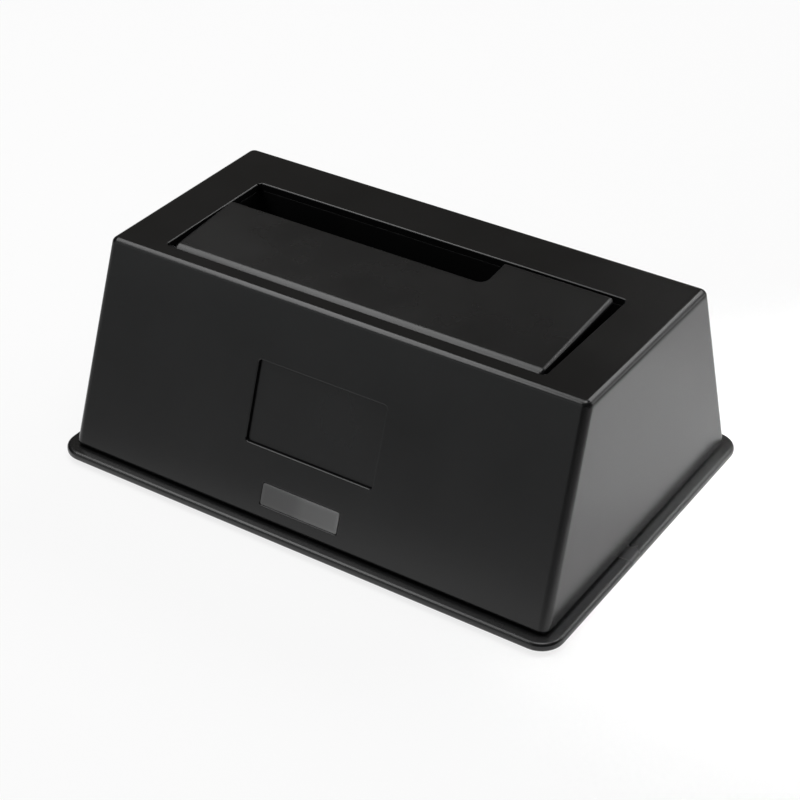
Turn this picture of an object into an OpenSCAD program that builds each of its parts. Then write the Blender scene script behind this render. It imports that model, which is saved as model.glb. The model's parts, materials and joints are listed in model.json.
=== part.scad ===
// Desktop docking station for one 3.5-inch or 2.5-inch drive.
// Millimetres, +Z up, the front faces -Y, the origin is under the middle of the base.

/* [Drive bay] */
// Width of the bay opening in the deck
bay_w = 104.4; // [103:0.1:112]
// Depth of the bay opening, front to back
bay_d = 37.6; // [35:0.1:44]
// Radius of the opening's corners
bay_corner_r = 1.2; // [0.5:0.1:2]
// Deck left in front of the opening
front_rim = 4.6; // [3:0.1:8]
// Deck left behind the opening
rear_rim = 14.7; // [12:0.1:20]
// Deck left beside the opening at each end
side_rim = 13.6; // [11:0.1:18]
// Width of the drive that the bay is made for
drive_w = 101.6; // [100:0.1:102]
// Wall of the well under the opening
well_wall = 1.8; // [1.4:0.1:2.4]
// Floor of the well
well_floor = 2; // [1.4:0.1:3]
// Room between the board and the well's floor
well_clear = 5; // [4.4:0.1:10]

/* [Housing] */
// Lean of each end wall from foot to deck
end_lean = 1.6; // [0.4:0.1:3]
// Lean of the front wall from foot to deck
front_lean = 17.6; // [12:0.1:19]
// Lean of the rear wall from foot to deck
rear_lean = 15.3; // [13:0.1:21]
// Thickness of the walls and the deck
wall = 2; // [1.6:0.1:2.5]
// Radius of the upright corners
corner_r = 2.1; // [1.9:0.1:4]
// Radius of the deck's outer edge
deck_edge_r = 1.7; // [0.4:0.1:1.8]

/* [Base] */
// Reach of the flange beyond the housing
flange_out = 3.2; // [2:0.1:7]
// Thickness of the base's flange
flange_t = 2.3; // [2:0.1:3]
// Thickness of the tray's floor inside its lip
tray_floor = 1.8; // [1.6:0.1:2.4]
// Plan radius of the flange's corners
flange_r = 5.9; // [4:0.1:10]
// Rounding of the flange's top and bottom edges
flange_edge_r = 0.9; // [0.3:0.1:1]
// Gap that shows between the flange and the housing's foot
reveal_h = 0.9; // [0.4:0.1:1.4]
// Distance of the plinth in that gap from the housing's face
reveal_in = 1.1; // [0.6:0.1:1.4]
// Height of the lip that locates the housing
lip_h = 1.6; // [1:0.1:2]
// Thickness of that lip
lip_t = 1.5; // [1:0.1:2]
// Gap between the lip and the housing
lip_gap = 0.25; // [0.1:0.05:0.5]
// Diameter of a rubber foot
foot_d = 11; // [8:0.5:14]
// Height of a foot below the base
foot_proud = 1; // [0.8:0.1:3]
// Depth of the seat that a foot is glued in
foot_seat = 0.6; // [0.3:0.1:1]
// Gap round a foot in its seat
foot_play = 0.1; // [0.05:0.05:0.3]
// Distance of a foot's centre from the base's ends
foot_inset_x = 20; // [18:0.5:30]
// Distance of a foot's centre from the base's front and back
foot_inset_y = 10; // [9:0.5:12]

/* [Flap] */
// Gap between the flap and the opening at each end
flap_side_gap = 1.35; // [0.6:0.05:3]
// Radius of the flap's rounded front edge
nose_r = 2.6; // [2.4:0.1:3]
// Gap in front of that edge
nose_gap = 0.35; // [0.3:0.05:4]
// Gap behind the flap when it lies level
flap_back_gap = 3.65; // [1:0.05:5]
// Thickness of the flap
flap_t = 2.2; // [1.6:0.1:2.4]
// Tilt of the flap at rest, its back edge up
flap_tilt = 4.6; // [2:0.1:7]
// Length of the slot that the flap leaves for a small drive
slot_w = 72.75; // [70:0.05:76]
// How far that slot is cut in from the flap's back edge
slot_cut = 9.45; // [8.5:0.05:13]
// Radius of the slot's inner corner
slot_r = 2; // [0.5:0.1:3]
// Diameter of the hinge rod
rod_d = 1.5; // [1.2:0.1:1.8]
// Running clearance round the rod
rod_clear = 0.05; // [0.02:0.01:0.1]
// Depth of the blind notch that holds each end of the rod
rod_hold = 1.2; // [0.8:0.1:1.3]
// Gap between the rod and the deck above it
rod_under = 0.06; // [0.05:0.01:0.3]
// Width of the stop hook under the flap
hook_w = 10; // [6:0.5:14]
// How far the hook reaches under the deck
hook_lap = 1.5; // [1.2:0.1:2.4]
// Thickness of the hook
hook_t = 1.8; // [1.4:0.1:2.4]
// Gap between the hook and the deck at rest
hook_gap = 0.15; // [0.05:0.05:0.3]
// Gap round the hook in its window
hook_play = 0.5; // [0.4:0.1:1]
// Distance of the hook's middle from the flap's right end
hook_inset = 14; // [10:0.5:20]
// Room under the folded flap
fold_clear = 1.4; // [1:0.1:4]
// Height of the stiffening ribs under the flap
rib_h = 1.4; // [0.8:0.1:2]
// Thickness of those ribs
rib_t = 1.2; // [0.8:0.1:2]

/* [Flap springs] */
// Wire of a torsion spring
spring_wire = 0.5; // [0.4:0.05:0.6]
// Gap between the coil and the rod inside it
spring_play = 0.3; // [0.2:0.05:0.4]
// Turns of the coil
spring_turns = 6; // [4:1:8]
// Distance from turn to turn
spring_pitch = 1; // [0.95:0.05:1.2]
// Distance of each spring's middle from the flap's end
spring_inset = 17.35; // [12:0.05:24]
// Reach of the leg under the flap
spring_leg = 8; // [6:0.5:12]
// Gap between the legs and what they press on
spring_gap = 0.2; // [0.1:0.05:0.3]

/* [Front] */
// Width of the badge recess
badge_w = 35.8; // [20:0.1:50]
// Height of the badge recess along the wall
badge_h = 20.3; // [10:0.1:24]
// Height of the recess above the housing's foot, along the wall
badge_up = 16.9; // [14:0.1:24]
// Depth of the badge's face below the wall
badge_sink = 0.9; // [0.3:0.1:1.2]
// Thickness of the badge plate
badge_t = 0.5; // [0.3:0.1:0.8]
// Radius of the recess's corners
badge_r = 0.8; // [0.3:0.1:2]
// Gap round the badge plate
badge_gap = 0.12; // [0.05:0.01:0.3]
// Width of the status window
window_w = 22; // [14:0.1:30]
// Height of the window along the wall
window_h = 5.6; // [4:0.1:8]
// Height of the window above the housing's foot, along the wall
window_up = 3.1; // [2.8:0.1:5]
// Radius of the window's corners
window_r = 0.5; // [0.2:0.1:1]
// Gap round the window
window_gap = 0.1; // [0.05:0.01:0.2]
// Flange that holds the window behind the wall
window_flange = 0.9; // [0.5:0.1:1.2]
// Gap between the light pipe and the board
pipe_gap = 0.3; // [0.1:0.05:0.6]

/* [Circuit board] */
// Thickness of the board
board_t = 1.6; // [1:0.1:2]
// Height of the board's underside above the tray's floor
board_lift = 2.4; // [2:0.1:4]
// Gap between the board and each end wall
board_side_gap = 10; // [9:0.5:14]
// Gap between the board and the front wall
board_front_gap = 6.8; // [5:0.1:9]
// Gap between the board and the port panel
board_rear_gap = 0.3; // [0.2:0.05:1]
// Distance of a board screw from the board's edges
board_screw_inset = 6; // [5:0.5:8]

/* [Drive socket] */
// Length of the drive socket
socket_w = 40.4; // [38:0.1:44]
// Thickness of the drive socket
socket_d = 6.2; // [5.4:0.1:7]
// Height of the socket above the well's floor
socket_rise = 4.8; // [4:0.1:5.5]
// Distance from the drive's left edge to the socket's middle
socket_from_edge = 36.4; // [35:0.1:38]
// Distance from the well's back wall to the socket's middle
socket_from_back = 4.6; // [4.2:0.1:6]
// Pitch of the contacts
socket_pitch = 1.27; // [1.2:0.01:1.3]
// Width of the two keyed slots
socket_slot = 2; // [1.6:0.1:2.4]
// Depth of the slots
socket_depth = 5.4; // [4.5:0.1:6]
// Gap between the socket and the well's floor
socket_gap = 0.4; // [0.2:0.05:0.8]
// Wall between the socket's two slots
segment_gap = 2.4; // [2:0.1:3]
// Distance of a contact's top below the socket's
contact_down = 0.6; // [0.3:0.1:1]
// Width of a contact strip
contact_w = 0.5; // [0.4:0.05:0.7]
// Thickness of a contact strip
contact_t = 0.25; // [0.15:0.05:0.3]

/* [Rear ports] */
// Distance of the port panel inside the housing's rear foot
panel_inset = 8; // [7:0.1:10]
// Distance of the port recess's ends from the board's ends
panel_side = 12; // [8:0.5:13]
// Gap between a port and its hole in the panel
port_gap = 0.3; // [0.1:0.05:0.6]
// How far the ports stand out of the panel
port_proud = 0.4; // [0:0.1:1]
// Distance of the power inlet from the board's right end
jack_inset = 23; // [21:0.5:25]
// Place of the power button
button_x = 13; // [10:0.5:16]
// Place of the square data port
usb_x = -7; // [-10:0.5:-5]
// Distance of the flat data port from the board's left end
esata_inset = 25; // [22:0.5:27]
// Outer width of the square port
usb_w = 12; // [11:0.1:13]
// Outer height of the square port
usb_h = 12.6; // [12.2:0.1:13]
// Length of the square port
usb_len = 16; // [14:0.5:18]
// Depth of the square port's cavity
usb_depth = 9.5; // [8:0.1:11]
// Outer width of the flat port
esata_w = 15.2; // [14.6:0.1:16]
// Outer height of the flat port
esata_h = 7; // [6.6:0.1:8]
// Length of the flat port
esata_len = 13; // [11:0.5:15]
// Depth of the flat port's cavity
esata_depth = 7.5; // [6:0.1:9]
// Width of the inlet's body
jack_w = 9.2; // [9:0.1:10]
// Height of the inlet's body
jack_h = 11; // [10.5:0.1:12]
// Length of the inlet's body
jack_len = 13; // [12:0.5:15]
// Diameter of the collar that passes through the panel
jack_collar_d = 8.6; // [8:0.1:9]
// Bore of the inlet
jack_bore_d = 6.3; // [6:0.1:6.6]
// Depth of that bore
jack_depth = 9.5; // [8:0.1:10]
// Diameter of the inlet's centre pin
jack_pin_d = 2.1; // [1.6:0.1:2.5]
// Distance of the pin's tip inside the mouth
jack_pin_back = 1; // [0.5:0.1:2]
// Diameter of the power button
button_d = 7.6; // [6:0.1:9]
// How far the button stands out of the panel
button_proud = 2.4; // [2:0.1:4]
// Travel of the button
button_travel = 1.5; // [1:0.1:1.8]
// Side of the switch behind the button
switch_w = 8.4; // [8:0.1:9]
// Length of the switch
switch_len = 8; // [7:0.1:9]
// Diameter of the stem between the button and the switch
stem_d = 3.2; // [2.4:0.1:4]
// Sliding clearance round the stem
stem_clear = 0.08; // [0.03:0.01:0.1]

/* [Fasteners] */
// Shank of the screws that hold the housing to the base
case_screw_d = 2.8; // [2.4:0.1:3]
// Shank of the screws that hold the board and the well
small_screw_d = 2.2; // [1.8:0.1:2.4]
// Length of a housing screw under its head
case_screw_len = 12; // [10:0.5:14]
// Length of a board screw under its head
board_screw_len = 4.4; // [4:0.1:4.8]
// Length of a well screw under its head
well_screw_len = 6; // [5:0.1:7]
// Head diameter in shank diameters
head_ratio = 1.9; // [1.7:0.1:2]
// Head height in shank diameters
head_rise = 0.65; // [0.5:0.05:0.8]
// Radial clearance where a screw passes through
screw_clear = 0.2; // [0.1:0.05:0.4]
// Radial clearance of a screw in its boss
thread_clear = 0.04; // [0.02:0.01:0.08]
// Room past the end of a screw in its blind hole
thread_end = 0.2; // [0.1:0.05:0.4]
// Wall of a screw boss round its hole
boss_wall = 2; // [1.6:0.1:2.2]
// Distance of a housing boss from the housing's front and back
boss_inset_y = 13; // [12:0.5:16]
// Height of a boss under the deck
well_boss_h = 5; // [5:0.1:8]
// Thickness of the well's ears
ear_t = 2; // [1.6:0.1:3]
// Distance of an ear from the well's front and back
ear_inset = 8; // [6:0.5:10]
// Plastic between a housing screw's head and its boss
case_seat = 2; // [1.6:0.1:2.2]

/* [Hidden] */
$fn = 48;
// Overlap of cuts past the faces that they open
cut = 0.5;
// Facets round a blended corner
blend_fn = 32;

// Heights, from the table up
base_z = foot_proud;
ledge_z = base_z + flange_t;
foot_z = ledge_z + reveal_h;
floor_z = base_z + tray_floor;
board_z = floor_z + board_lift;
board_top = board_z + board_t;
well_z = board_top + well_clear;
bay_floor_z = well_z + well_floor;

// Hook and flap lengths, measured from the hinge axis
hinge_back = nose_r + nose_gap;
flap_len = bay_d - hinge_back - flap_back_gap;
hook_reach = (bay_d - hinge_back + hook_lap) / cos(flap_tilt);
hinge_drop = wall + rod_d / 2 + rod_under;
hook_top = (hinge_drop - wall - hook_gap) / cos(flap_tilt) - hook_reach * tan(flap_tilt);
hook_low = hook_top - hook_t;
fold_reach = norm([hook_reach, hook_low]);
deck_z = bay_floor_z + fold_clear + fold_reach + hinge_drop;
body_h = deck_z - foot_z;
ceiling_z = deck_z - wall;

// Plan of the housing
deck_w = bay_w + 2 * side_rim;
deck_d = front_rim + bay_d + rear_rim;
body_w = deck_w + 2 * end_lean;
body_d = front_lean + deck_d + rear_lean;
base_w = body_w + 2 * flange_out;
base_d = body_d + 2 * flange_out;
deck_y0 = -body_d / 2 + front_lean;
deck_y1 = body_d / 2 - rear_lean;
bay_y0 = deck_y0 + front_rim;
bay_y1 = bay_y0 + bay_d;
front_angle = atan(front_lean / body_h);
rear_angle = atan(rear_lean / body_h);
end_angle = atan(end_lean / body_h);

// Inner faces of the walls at a height
function front_in(z) = -body_d / 2 + front_lean * (z - foot_z) / body_h + wall / cos(front_angle);
function rear_in(z) = body_d / 2 - rear_lean * (z - foot_z) / body_h - wall / cos(rear_angle);
function end_in(z) = body_w / 2 - end_lean * (z - foot_z) / body_h - wall / cos(end_angle);

// Hinge and flap
hinge_y = bay_y0 + hinge_back;
hinge_z = deck_z - hinge_drop;
flap_w = bay_w - 2 * flap_side_gap;
flap_low = nose_r - flap_t;
hook_x = flap_w / 2 - hook_inset;
spring_x = flap_w / 2 - spring_inset;

// Springs
coil_r = rod_d / 2 + spring_play + spring_wire / 2;
spring_len = spring_turns * spring_pitch;
pocket_r = coil_r + spring_wire / 2 + spring_play;
pocket_len = spring_len + spring_wire + 2 * spring_play;

// Port panel and board
panel_y = body_d / 2 - panel_inset;
port_y = panel_y + port_proud;
board_y0 = front_in(board_top) + board_front_gap;
board_y1 = panel_y - wall - board_rear_gap;
board_w = body_w - 2 * (wall + board_side_gap);
panel_w = board_w - 2 * panel_side;
jack_x = board_w / 2 - jack_inset;
esata_x = esata_inset - board_w / 2;
board_screw_x = board_w / 2 - board_screw_inset;
board_screw_y = [board_y0 + board_screw_inset, board_y1 - board_screw_inset];
jack_z = board_top + jack_h / 2;
button_z = board_top + switch_w / 2;

// Drive socket
socket_x = -drive_w / 2 + socket_from_edge;
socket_y = bay_y1 - socket_from_back;
socket_top = bay_floor_z + socket_rise;
signal_n = 7;
power_n = 15;
end_pitches = 1.2;
signal_len = (signal_n + end_pitches) * socket_pitch;
power_len = (power_n + end_pitches) * socket_pitch;
signal_x = socket_x - (power_len + segment_gap) / 2;
power_x = socket_x + (signal_len + segment_gap) / 2;

// Bosses and screws
case_boss_r = case_screw_d / 2 + boss_wall;
boss_sink = 0.5;
boss_x = body_w / 2 - wall - case_boss_r + boss_sink;
boss_y = body_d / 2 - boss_inset_y;
boss_top = board_z + case_screw_len;
case_seat_z = board_z - case_seat;
well_boss_r = small_screw_d / 2 + boss_wall;
ear_x = bay_w / 2 + well_wall + (side_rim - well_wall - wall) / 2;
ear_y = [bay_y0 + ear_inset, bay_y1 - ear_inset];
ear_z = ceiling_z - well_boss_h - ear_t;

// Colours
plastic_black = [0.035, 0.035, 0.037];
plastic_dark = [0.05, 0.05, 0.052];
window_grey = [0.32, 0.33, 0.34];
steel = [0.75, 0.76, 0.78];
gold = [0.85, 0.68, 0.3];
board_green = [0.05, 0.27, 0.14];
chip_black = [0.06, 0.06, 0.065];
port_blue = [0.08, 0.25, 0.62];
rubber_black = [0.045, 0.045, 0.045];

// A box between two corners
module block(low, high) {
    translate(low)
        cube(high - low);
}

// A rectangle with round corners, centred
module round_rect(w, d, r) {
    square([w - 2 * r, d], center = true);
    square([w, d - 2 * r], center = true);
    for (x = [-1, 1], y = [-1, 1])
        translate([x * (w / 2 - r), y * (d / 2 - r)])
            circle(r = r);
}

// Copies at the four corners of a rectangle
module four(x, ys) {
    for (s = [-1, 1], y = ys)
        translate([s * x, y, 0])
            children();
}

// Frame on the front wall: X across, Y up the wall from its foot, Z out of the wall
module on_front() {
    translate([0, -body_d / 2, foot_z])
        rotate([90 - front_angle, 0, 0])
            children();
}

// Frame of the flap: origin on the hinge axis, Y along the flap, Z out of its top
module at_hinge() {
    translate([0, hinge_y, hinge_z])
        rotate([flap_tilt, 0, 0])
            children();
}

// Frame of a rear port: X across, Y inwards from the port's mouth
module at_port(x, z) {
    translate([x, port_y, z])
        rotate([0, 0, 180])
            children();
}

// A pan-head screw, head down, its shank rising from the head's seat at z = 0
module screw(d, len) {
    head_d = d * head_ratio;
    head_h = d * head_rise;
    cross_w = d * 0.25;
    cross_len = head_d * 0.6;
    cross_deep = head_h * 0.6;
    difference() {
        union() {
            cylinder(d = d, h = len);
            translate([0, 0, -head_h])
                cylinder(d = head_d, h = head_h);
        }
        for (turn = [0, 90])
            rotate(turn)
                translate([-cross_len / 2, -cross_w / 2, -head_h - cut])
                    cube([cross_len, cross_w, cross_deep + cut]);
    }
}

// Rounded corner of the deck, a disc with a soft rim
module deck_corner() {
    rotate_extrude($fn = blend_fn)
        translate([corner_r - deck_edge_r, 0])
            intersection() {
                circle(r = deck_edge_r, $fn = blend_fn);
                square(deck_edge_r);
            }
}

// Outer form of the housing
module housing_outer() {
    deck_in = corner_r - deck_edge_r;
    deck_x = deck_w / 2 - deck_in - deck_edge_r * tan((90 - end_angle) / 2);
    front_y = deck_y0 + deck_in + deck_edge_r * tan((90 - front_angle) / 2);
    rear_y = deck_y1 - deck_in - deck_edge_r * tan((90 - rear_angle) / 2);
    hull() {
        four(body_w / 2 - corner_r, [corner_r - body_d / 2, body_d / 2 - corner_r])
            translate([0, 0, foot_z])
                cylinder(r = corner_r, h = 0.01, $fn = blend_fn);
        four(deck_x, [front_y, rear_y])
            translate([0, 0, deck_z - deck_edge_r])
                deck_corner();
    }
}

// Hollow of the housing, bounded by flat faces
module housing_inner() {
    low_z = foot_z - cut;
    intersection() {
        rotate([90, 0, 90])
            linear_extrude(height = 2 * body_w, center = true)
                polygon([[front_in(low_z), low_z], [rear_in(low_z), low_z],
                    [rear_in(ceiling_z), ceiling_z], [front_in(ceiling_z), ceiling_z]]);
        rotate([90, 0, 0])
            linear_extrude(height = 2 * body_d, center = true)
                polygon([[-end_in(low_z), low_z], [end_in(low_z), low_z],
                    [end_in(ceiling_z), ceiling_z], [-end_in(ceiling_z), ceiling_z]]);
    }
}

// Recess for the ports at the back, grown by a wall to make the panel and its cheeks
module port_recess(grow) {
    block([-panel_w / 2 - grow, panel_y - grow, foot_z - cut],
        [panel_w / 2 + grow, body_d, ceiling_z]);
}

// Openings for the ports and the button in the panel
module port_holes() {
    block([usb_x - usb_w / 2 - port_gap, panel_y - wall - cut, board_top - port_gap],
        [usb_x + usb_w / 2 + port_gap, panel_y + cut, board_top + usb_h + port_gap]);
    block([esata_x - esata_w / 2 - port_gap, panel_y - wall - cut, board_top - port_gap],
        [esata_x + esata_w / 2 + port_gap, panel_y + cut, board_top + esata_h + port_gap]);
    translate([jack_x, panel_y + cut, jack_z])
        rotate([90, 0, 0])
            cylinder(d = jack_collar_d + 2 * port_gap, h = wall + 2 * cut);
    translate([button_x, panel_y + cut, button_z])
        rotate([90, 0, 0])
            cylinder(d = button_d + 2 * port_gap, h = wall + 2 * cut);
}

module upper_housing() {
    badge_depth = badge_sink + badge_t;
    color(plastic_black)
        difference() {
            housing_outer();
            difference() {
                housing_inner();
                port_recess(wall);
                // pad behind the badge recess
                on_front()
                    translate([-badge_w / 2 - wall, badge_up - wall, -wall - badge_depth])
                        cube([badge_w + 2 * wall, badge_h + 2 * wall, badge_depth + wall]);
                four(boss_x, [-boss_y, boss_y])
                    translate([0, 0, board_z])
                        cylinder(r = case_boss_r, h = boss_top - board_z + boss_wall);
                four(ear_x, ear_y)
                    translate([0, 0, ceiling_z - well_boss_h])
                        cylinder(r = well_boss_r, h = well_boss_h + cut);
            }
            port_recess(0);
            port_holes();
            // bay opening in the deck
            translate([0, (bay_y0 + bay_y1) / 2, ceiling_z - cut])
                linear_extrude(height = wall + 2 * cut)
                    round_rect(bay_w, bay_d, bay_corner_r);
            on_front() {
                translate([0, badge_up + badge_h / 2, -badge_depth])
                    linear_extrude(height = badge_depth + cut)
                        round_rect(badge_w, badge_h, badge_r);
                translate([0, window_up + window_h / 2, -wall - cut])
                    linear_extrude(height = wall + 2 * cut)
                        round_rect(window_w, window_h, window_r);
            }
            four(boss_x, [-boss_y, boss_y])
                translate([0, 0, board_z - cut])
                    cylinder(d = case_screw_d + 2 * thread_clear, h = boss_top - board_z + cut);
            four(ear_x, ear_y)
                translate([0, 0, ceiling_z - well_boss_h - cut])
                    cylinder(d = small_screw_d + 2 * thread_clear, h = well_boss_h + cut);
        }
}

// Plate with soft edges, the base and its flange
module base_plate() {
    hull()
        four(base_w / 2 - flange_r, [flange_r - base_d / 2, base_d / 2 - flange_r])
            for (z = [base_z + flange_edge_r, ledge_z - flange_edge_r])
                translate([0, 0, z])
                    rotate_extrude($fn = blend_fn)
                        translate([flange_r - flange_edge_r, 0])
                            circle(r = flange_edge_r, $fn = blend_fn);
}

// Plinth that carries the housing, set back so that a dark line shows under the housing's foot
module base_plinth() {
    x = body_w / 2 - reveal_in;
    y = body_d / 2 - reveal_in;
    block([-x, -y, ledge_z - cut], [x, y, foot_z]);
}

// Lip inside the housing's foot, open where the port panel and the bosses come down
module base_lip() {
    top_z = foot_z + lip_h;
    x = end_in(top_z) - lip_gap;
    y0 = front_in(top_z) + lip_gap;
    y1 = rear_in(top_z) - lip_gap;
    difference() {
        block([-x, y0, foot_z - cut], [x, y1, top_z]);
        block([lip_t - x, y0 + lip_t, foot_z - 2 * cut], [x - lip_t, y1 - lip_t, top_z + cut]);
        block([-panel_w / 2 - wall - lip_gap, panel_y - wall - lip_gap, foot_z - 2 * cut],
            [panel_w / 2 + wall + lip_gap, body_d, top_z + cut]);
        four(boss_x, [-boss_y, boss_y])
            translate([0, 0, board_z])
                cylinder(r = case_boss_r + lip_gap, h = lip_h + cut);
    }
}

// Hollow of the tray inside its lip, short of the port panel
module tray_hollow() {
    top_z = foot_z + lip_h;
    x = end_in(top_z) - lip_gap - lip_t;
    y0 = front_in(top_z) + lip_gap + lip_t;
    y1 = panel_y - wall - lip_gap - lip_t;
    block([-x, y0, floor_z], [x, y1, top_z + cut]);
}

module base_tray() {
    head_d = case_screw_d * head_ratio + 4 * screw_clear;
    post_x = end_in(board_z) - lip_gap;
    color(plastic_black)
        difference() {
            union() {
                difference() {
                    union() {
                        base_plate();
                        base_plinth();
                    }
                    tray_hollow();
                }
                base_lip();
                // posts under the housing's bosses, flat where the end walls come down
                intersection() {
                    four(boss_x, [-boss_y, boss_y])
                        translate([0, 0, floor_z - cut])
                            cylinder(r = case_boss_r, h = board_z - floor_z + cut);
                    block([-post_x, -body_d / 2, base_z], [post_x, body_d / 2, deck_z]);
                }
                four(board_screw_x, board_screw_y)
                    translate([0, 0, floor_z - cut])
                        cylinder(r = small_screw_d / 2 + boss_wall, h = board_z - floor_z + cut);
            }
            four(boss_x, [-boss_y, boss_y]) {
                translate([0, 0, base_z - cut])
                    cylinder(d = head_d, h = case_seat_z - base_z + cut);
                translate([0, 0, base_z - cut])
                    cylinder(d = case_screw_d + 2 * screw_clear, h = board_z - base_z + 2 * cut);
            }
            four(board_screw_x, board_screw_y)
                translate([0, 0, board_top - board_screw_len])
                    cylinder(d = small_screw_d + 2 * thread_clear, h = board_screw_len + cut);
            four(base_w / 2 - foot_inset_x, [foot_inset_y - base_d / 2, base_d / 2 - foot_inset_y])
                translate([0, 0, base_z - cut])
                    cylinder(d = foot_d, h = foot_seat + cut);
        }
}

// Well that guides a drive down to the socket, hung under the deck
module drive_well() {
    x = bay_w / 2;
    notch_d = rod_d + 2 * rod_clear;
    hook_fall = hinge_drop + sqrt(pow(fold_reach, 2) - pow(bay_y1 - hinge_y, 2));
    color(plastic_dark)
        difference() {
            union() {
                block([-x - well_wall, bay_y0 - well_wall, well_z],
                    [x + well_wall, bay_y1 + well_wall, ceiling_z]);
                four(ear_x, ear_y)
                    translate([0, 0, ear_z])
                        cylinder(r = well_boss_r, h = ear_t);
                for (s = [-1, 1], y = ear_y)
                    block([s * (x + ear_x) / 2 - (ear_x - x) / 2, y - well_boss_r, ear_z],
                        [s * (x + ear_x) / 2 + (ear_x - x) / 2, y + well_boss_r, ear_z + ear_t]);
            }
            block([-x, bay_y0, bay_floor_z], [x, bay_y1, deck_z]);
            block([socket_x - socket_w / 2 - socket_gap, socket_y - socket_d / 2 - socket_gap, well_z - cut],
                [socket_x + socket_w / 2 + socket_gap, socket_y + socket_d / 2 + socket_gap, deck_z]);
            // notches that the hinge rod drops into from above
            translate([-x - rod_hold, hinge_y, hinge_z])
                rotate([0, 90, 0])
                    cylinder(d = notch_d, h = bay_w + 2 * rod_hold);
            block([-x - rod_hold, hinge_y - notch_d / 2, hinge_z],
                [x + rod_hold, hinge_y + notch_d / 2, deck_z]);
            // window for the stop hook
            block([hook_x - hook_w / 2 - hook_play, bay_y1 - cut, deck_z - hook_fall - hook_play],
                [hook_x + hook_w / 2 + hook_play, bay_y1 + well_wall + cut, deck_z]);
            four(ear_x, ear_y)
                translate([0, 0, ear_z - cut])
                    cylinder(d = small_screw_d + 2 * screw_clear, h = ear_t + 2 * cut);
        }
}

// Plan of the flap: a plate with its back left part left out
module flap_outline() {
    difference() {
        translate([-flap_w / 2, 0])
            square([flap_w, flap_len]);
        translate([-flap_w / 2 - cut, flap_len - slot_cut])
            square([slot_w + cut - slot_r, slot_cut + cut]);
        translate([-flap_w / 2 - cut, flap_len - slot_cut + slot_r])
            square([slot_w + cut, slot_cut + cut]);
        translate([slot_w - flap_w / 2 - slot_r, flap_len - slot_cut + slot_r])
            circle(r = slot_r);
    }
}

module bay_flap() {
    rib_len = flap_len - slot_cut - rib_t;
    color(plastic_black)
        at_hinge()
            difference() {
                union() {
                    rotate([0, 90, 0])
                        cylinder(r = nose_r, h = flap_w, center = true);
                    translate([0, 0, flap_low])
                        linear_extrude(height = flap_t)
                            flap_outline();
                    // stiffening ribs
                    for (x = [-spring_x + pocket_len, 0, spring_x - pocket_len])
                        block([x - rib_t / 2, 0, flap_low - rib_h], [x + rib_t / 2, rib_len, flap_low + cut]);
                    // stop hook, down from the flap and back under the deck
                    block([hook_x - hook_w / 2, flap_len - 2 * hook_t, hook_low],
                        [hook_x + hook_w / 2, flap_len - hook_t, flap_low + cut]);
                    block([hook_x - hook_w / 2, flap_len - 2 * hook_t, hook_low],
                        [hook_x + hook_w / 2, hook_reach, hook_top]);
                }
                rotate([0, 90, 0])
                    cylinder(d = rod_d + 2 * rod_clear, h = flap_w + 2 * cut, center = true);
                // room for the springs, open below
                for (s = [-1, 1])
                    translate([s * spring_x, 0, 0]) {
                        rotate([0, 90, 0])
                            cylinder(r = pocket_r, h = pocket_len, center = true);
                        block([-pocket_len / 2, -nose_r - cut, -nose_r - cut],
                            [pocket_len / 2, nose_r, flap_low]);
                    }
            }
}

module hinge_rod() {
    rod_len = bay_w + 2 * (rod_hold - rod_under);
    color(steel)
        translate([0, hinge_y, hinge_z])
            rotate([0, 90, 0])
                cylinder(d = rod_d, h = rod_len, center = true);
}

// Path of a torsion spring about the hinge: fixed leg, coil, leg under the flap.
// Angles run from +Y towards +Z.
fixed_leg = hinge_back - spring_wire / 2 - spring_gap;
fixed_turn = -100;
moving_rise = asin((flap_low + coil_r - spring_wire / 2 - spring_gap) / spring_leg);
moving_turn = -90 + flap_tilt + moving_rise + 360 * spring_turns;
coil_steps = 8 * spring_turns;
function coil_at(a, x) = [x, coil_r * cos(a), coil_r * sin(a)];
function along(a) = [0, -sin(a), cos(a)];
function coil_turn(i) = fixed_turn + (moving_turn - fixed_turn) * i / coil_steps;
function coil_x(i) = spring_len * (i / coil_steps - 0.5);
fixed_reach = (fixed_leg + coil_r * cos(fixed_turn)) / -sin(fixed_turn);
spring_path = concat(
    [coil_at(fixed_turn, coil_x(0)) - fixed_reach * along(fixed_turn)],
    [for (i = [0 : coil_steps]) coil_at(coil_turn(i), coil_x(i))],
    [coil_at(moving_turn, coil_x(coil_steps)) + spring_leg * along(moving_turn)]);

// Least gap between one turn and the next, measured on the path's points
turn_gap = min([for (i = [0 : coil_steps - 8]) norm(coil_at(coil_turn(i), coil_x(i))
    - coil_at(coil_turn(i + 8), coil_x(i + 8)))]) - spring_wire;
echo(spring_turn_gap = turn_gap);

// A round wire swept along a path that winds about the X axis
module wire(path, d) {
    sides = 6;
    n = len(path);
    rings = [for (i = [0 : n - 1])
        let (step = path[min(i + 1, n - 1)] - path[max(i - 1, 0)],
            dir = step / norm(step),
            out = cross(dir, [1, 0, 0]) / norm(cross(dir, [1, 0, 0])),
            side = cross(dir, out))
        for (k = [0 : sides - 1])
            path[i] + d / 2 * (out * cos(360 * k / sides) + side * sin(360 * k / sides))];
    walls = [for (i = [0 : n - 2], k = [0 : sides - 1])
        let (a = i * sides + k, b = i * sides + (k + 1) % sides)
        each [[a, b, b + sides], [a, b + sides, a + sides]]];
    first = [for (k = [1 : sides - 2]) [0, k + 1, k]];
    last = [for (k = [1 : sides - 2]) [(n - 1) * sides, (n - 1) * sides + k, (n - 1) * sides + k + 1]];
    polyhedron(rings, concat(walls, first, last));
}

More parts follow.
